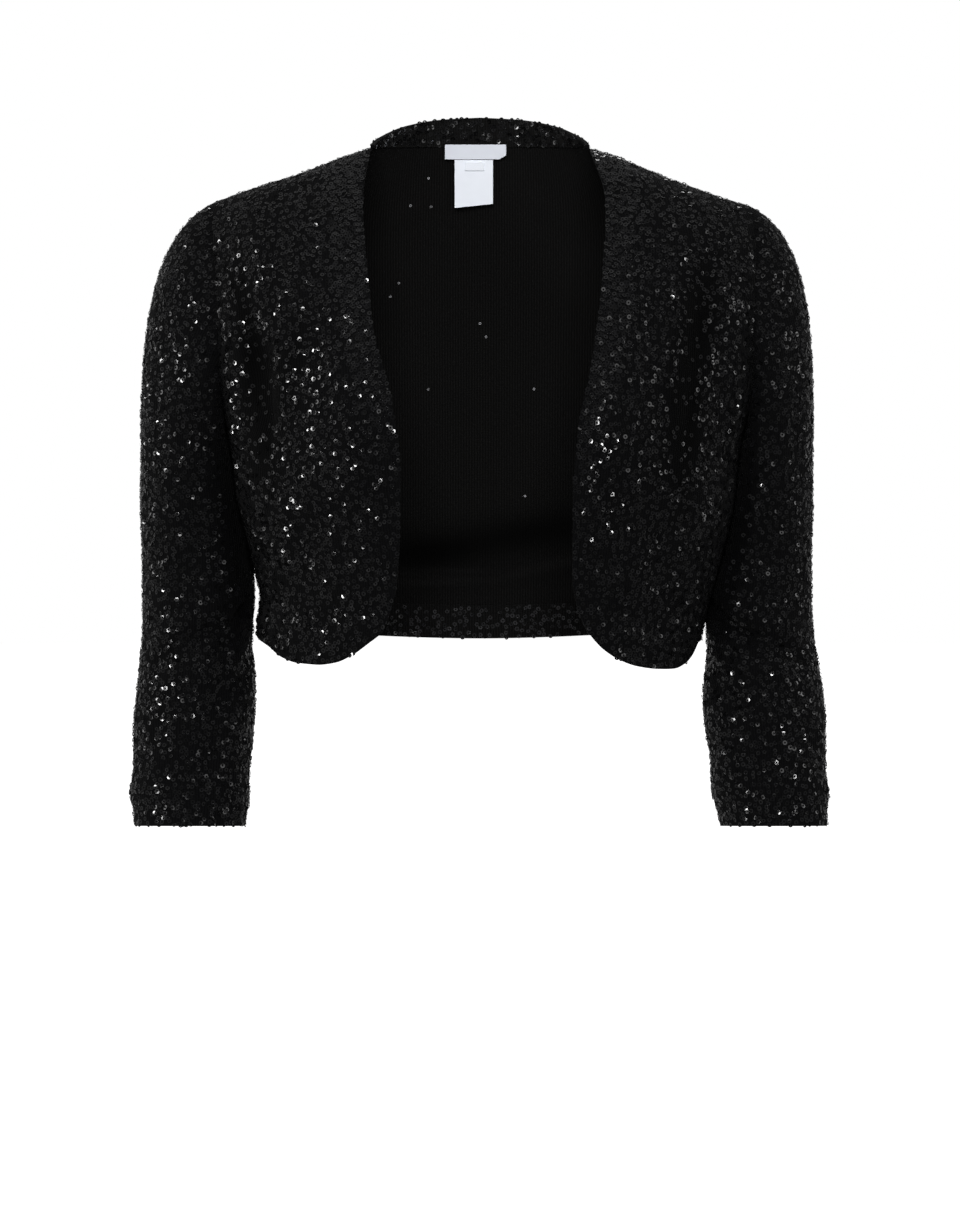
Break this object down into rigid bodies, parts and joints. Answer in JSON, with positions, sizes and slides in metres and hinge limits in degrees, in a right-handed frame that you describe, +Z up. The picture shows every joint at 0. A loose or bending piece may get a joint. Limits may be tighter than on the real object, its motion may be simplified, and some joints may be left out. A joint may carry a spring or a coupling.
{
  "type": "bolero jacket",
  "caption": "Short open-front jacket of black sequinned knit with three-quarter sleeves, a standing back neck band and rounded front corners, filled out as if worn.",
  "frame": {"origin": "on the garment's middle plane, between the shoulder seams at the height of their middle, where the wearer's shoulders carry it", "axes": "+X to the wearer's left, -Y to the wearer's front, +Z up"},
  "size_m": [0.5022, 0.2218, 0.5134],
  "materials": {
    "sequinned_knit": "black knit covered in glossy black cup sequins, plain ribbed knit on the inside",
    "label_satin": "white woven satin, blank"
  },
  "bodies": {
    "root": {"back": "sequinned_knit", "front_left": "sequinned_knit", "front_right": "sequinned_knit", "sleeve_left": "sequinned_knit", "sleeve_right": "sequinned_knit", "cuff_left": "sequinned_knit", "cuff_right": "sequinned_knit", "neck_band": "sequinned_knit", "hem_facing": "sequinned_knit", "label_main": "label_satin", "label_care": "label_satin", "label_size": "label_satin"}
  },
  "joints": []
}
